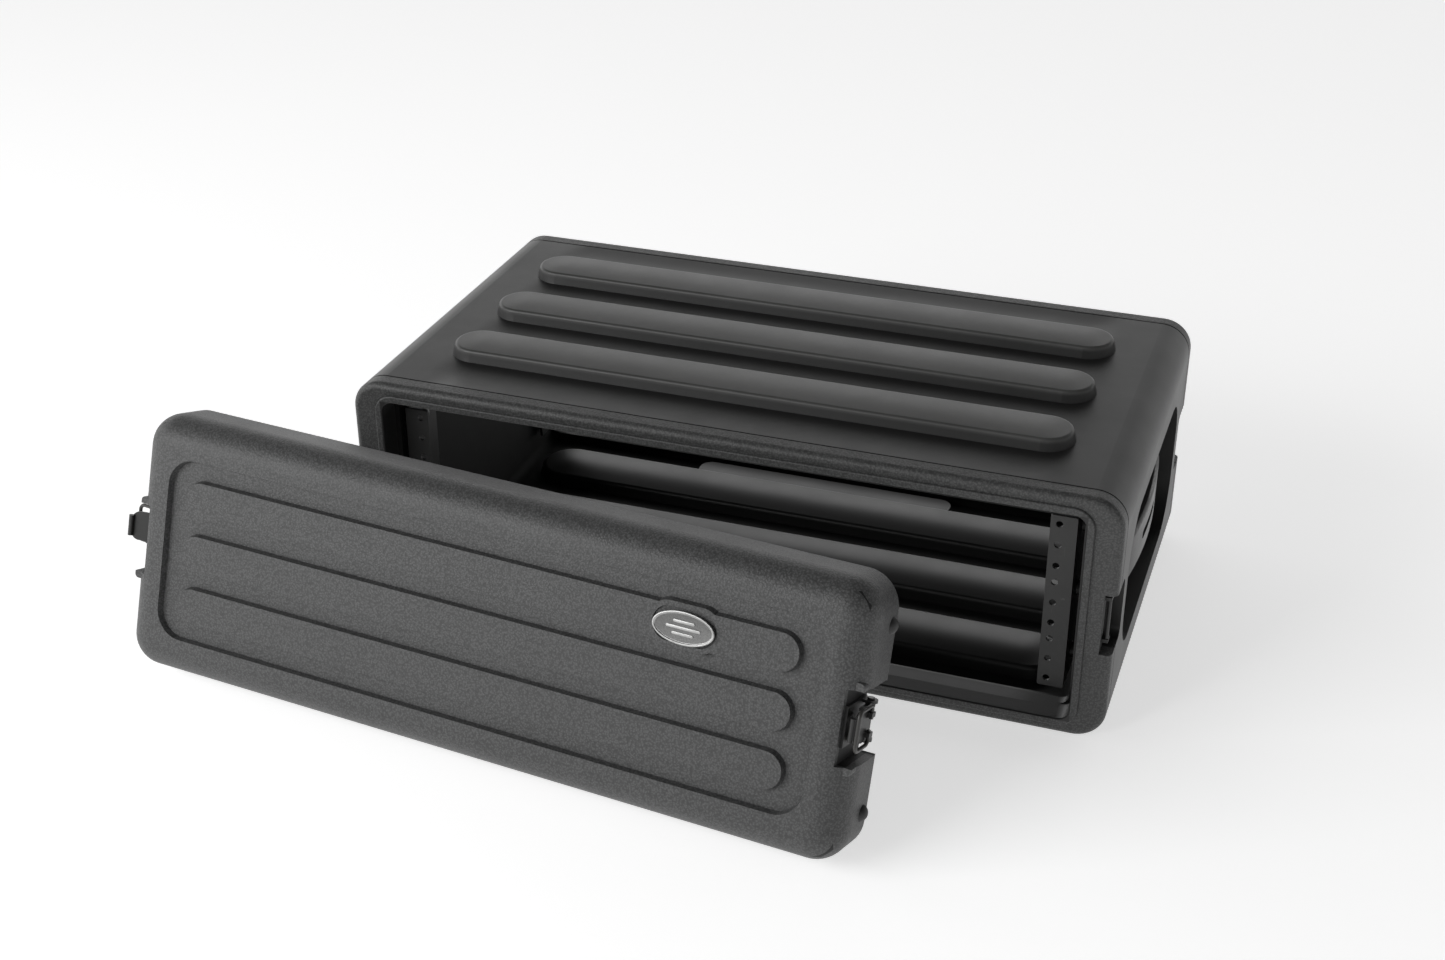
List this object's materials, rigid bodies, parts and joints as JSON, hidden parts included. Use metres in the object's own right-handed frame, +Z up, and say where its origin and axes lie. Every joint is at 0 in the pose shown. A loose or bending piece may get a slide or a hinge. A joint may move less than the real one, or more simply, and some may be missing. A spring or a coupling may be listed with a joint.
{
  "type": "equipment rack case",
  "caption": "Moulded rack case with an open bay, punched front and rear rails, recessed side handles and a loose latched front lid.",
  "frame": {"origin": "centre of the front rails' mounting plane, on the case's middle in width and height", "axes": "+X to the right seen from the front, +Y into the case, +Z up"},
  "size_m": [0.6912, 0.506, 0.1929],
  "materials": {
    "shell_plastic": "fine pebble texture",
    "lid_plastic": "coarse pebble texture",
    "moulded_plastic": "satin",
    "black_steel": "satin black powder coat",
    "fastener_steel": "black zinc",
    "foam": "matte foam",
    "badge_metal": "satin"
  },
  "bodies": {
    "case": {"body_shell": "shell_plastic", "rail_front_left": "black_steel", "rail_front_right": "black_steel", "rail_rear_left": "black_steel", "rail_rear_right": "black_steel", "side_handle_left": "moulded_plastic", "side_handle_right": "moulded_plastic", "keeper_front_left": "black_steel", "keeper_front_right": "black_steel", "keeper_rear_left": "black_steel", "keeper_rear_right": "black_steel", "rail_bolts": "fastener_steel", "rail_spacers": "black_steel", "handle_screws": "fastener_steel", "keeper_rivets": "fastener_steel"},
    "carrier": {"lid_stud_right_high": "moulded_plastic"},
    "lid": {"lid_shell": "lid_plastic", "lid_gasket": "foam", "badge_plate": "badge_metal", "latch_base_left": "black_steel", "latch_base_right": "black_steel", "latch_pin_left": "fastener_steel", "latch_pin_right": "fastener_steel", "latch_rivets": "fastener_steel", "lid_stud_left_low": "moulded_plastic", "lid_stud_left_high": "moulded_plastic", "lid_stud_right_low": "moulded_plastic"},
    "lever_left": {"latch_lever_left": "black_steel"},
    "lever_right": {"latch_lever_right": "black_steel"},
    "loop_left": {"latch_loop_left": "fastener_steel"},
    "loop_right": {"latch_loop_right": "fastener_steel"}
  },
  "joints": [
    {"name": "lid_carry", "type": "slide", "parent": "case", "child": "carrier", "axis": [0.7011, 0.7117, 0.0433], "range_m": [0, 0.16267]},
    {"name": "lid_turn", "type": "hinge", "parent": "carrier", "child": "lid", "pos_m": [0.15676, -0.14348, 0.05366], "axis": [0.9542, -0.05, 0.2949], "range_deg": [0, 20.16]},
    {"name": "lever_right", "type": "hinge", "parent": "lid", "child": "lever_right", "pos_m": [0.15168, -0.16592, -0.00266], "axis": [0.0345, 0.3279, 0.9441], "range_deg": [0, 110]},
    {"name": "loop_right", "type": "hinge", "parent": "lever_right", "child": "loop_right", "pos_m": [0.15542, -0.17438, 0.00014], "axis": [0.0345, 0.3279, 0.9441], "range_deg": [0, 70]},
    {"name": "lever_left", "type": "hinge", "parent": "lid", "child": "lever_left", "pos_m": [-0.38158, -0.10987, -0.00266], "axis": [-0.0345, -0.3279, -0.9441], "range_deg": [-75, 35]},
    {"name": "loop_left", "type": "hinge", "parent": "lever_left", "child": "loop_left", "pos_m": [-0.39071, -0.10678, -0.0034], "axis": [-0.0345, -0.3279, -0.9441], "range_deg": [-25, 45]}
  ],
  "couplings": [
    {"joint": "lid_turn", "follows": "lid_carry", "rad_per_m": 2.1625}
  ]
}
